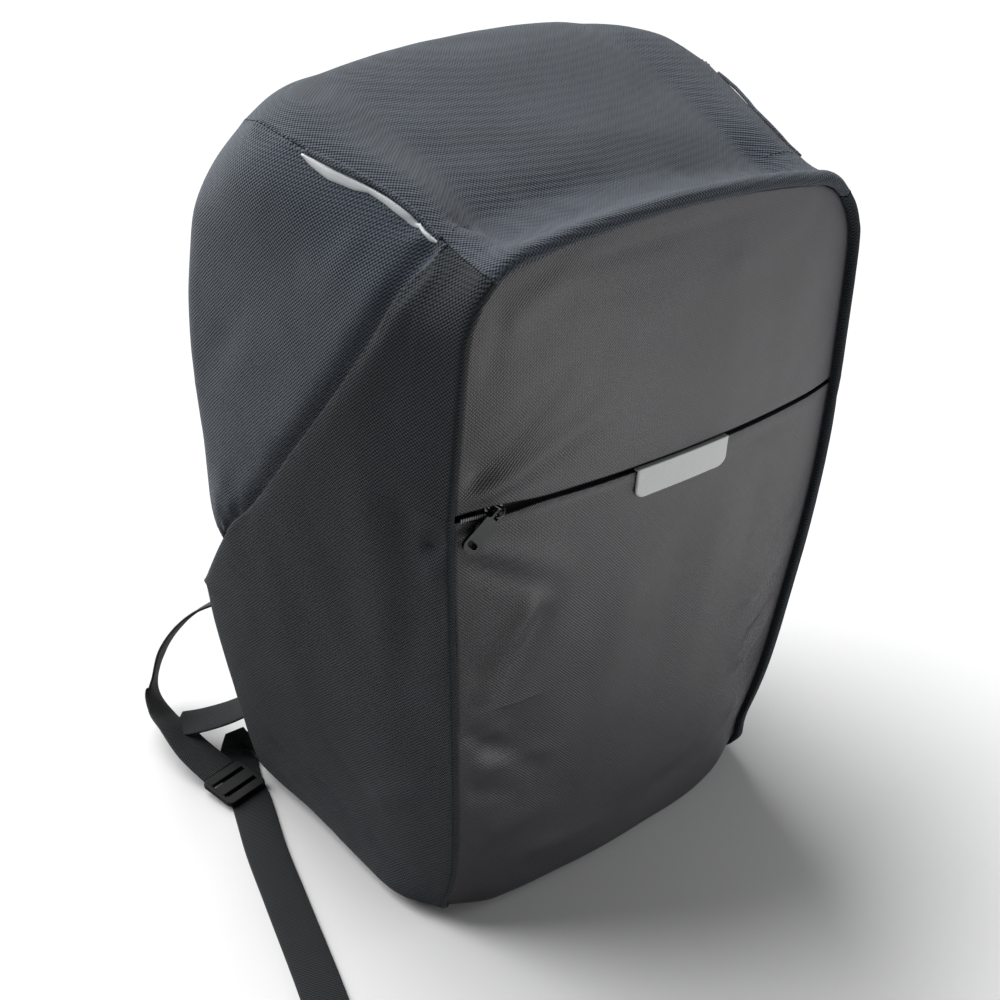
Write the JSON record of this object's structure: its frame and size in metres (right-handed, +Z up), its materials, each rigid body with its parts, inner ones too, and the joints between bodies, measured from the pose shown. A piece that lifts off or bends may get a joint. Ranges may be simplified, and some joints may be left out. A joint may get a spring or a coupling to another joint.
{
  "type": "anti theft backpack",
  "caption": "Anti theft backpack standing on its base, with a coated front, a pocket zip, a light grey tab, pleated sides and a loose strap on the floor.",
  "frame": {"origin": "on the floor under the middle of the bag's base, at the base's flat rest face", "axes": "+X to the right of the front panel seen from the front, +Y towards the back panel, +Z up"},
  "size_m": [0.4163, 0.32, 0.4512],
  "materials": {
    "woven": "matte coarse weave",
    "coated": "fine weave with a dull coating",
    "webbing": "ribbed webbing",
    "padding": "padded mesh and woven cloth",
    "zip_tape": "knitted tape with a nylon coil",
    "tab": "matte light grey",
    "reflective": "silver grey reflective cloth",
    "slider_metal": "glossy black",
    "puller_metal": "matte face with a glossy rim",
    "buckle": "matte black"
  },
  "bodies": {
    "bag": {"front_pocket_panel": "coated", "front_upper_panel": "coated", "side_front_right": "woven", "side_front_left": "woven", "side_rear_right": "woven", "side_rear_left": "woven", "top_panel": "woven", "main_zip": "zip_tape", "back_panel": "padding", "base_panel": "woven", "pocket_zip": "zip_tape", "zip_slider": "slider_metal", "front_tab": "tab", "seam_strip_right": "reflective", "seam_strip_left": "reflective", "shoulder_strap_right": "padding", "shoulder_strap_left": "padding", "strap_webbing_left": "webbing", "strap_webbing_right": "webbing", "strap_anchor_left": "webbing", "strap_tail_left": "webbing", "strap_tail_right": "webbing", "strap_lock_right": "buckle", "strap_lock_left": "buckle"},
    "puller": {"zip_puller": "puller_metal"}
  },
  "joints": [
    {"name": "puller_hinge", "type": "hinge", "parent": "bag", "child": "puller", "pos_m": [-0.117, -0.09296, 0.277], "axis": [-0.6691, 0, 0.7431], "range_deg": [0, 150]}
  ]
}
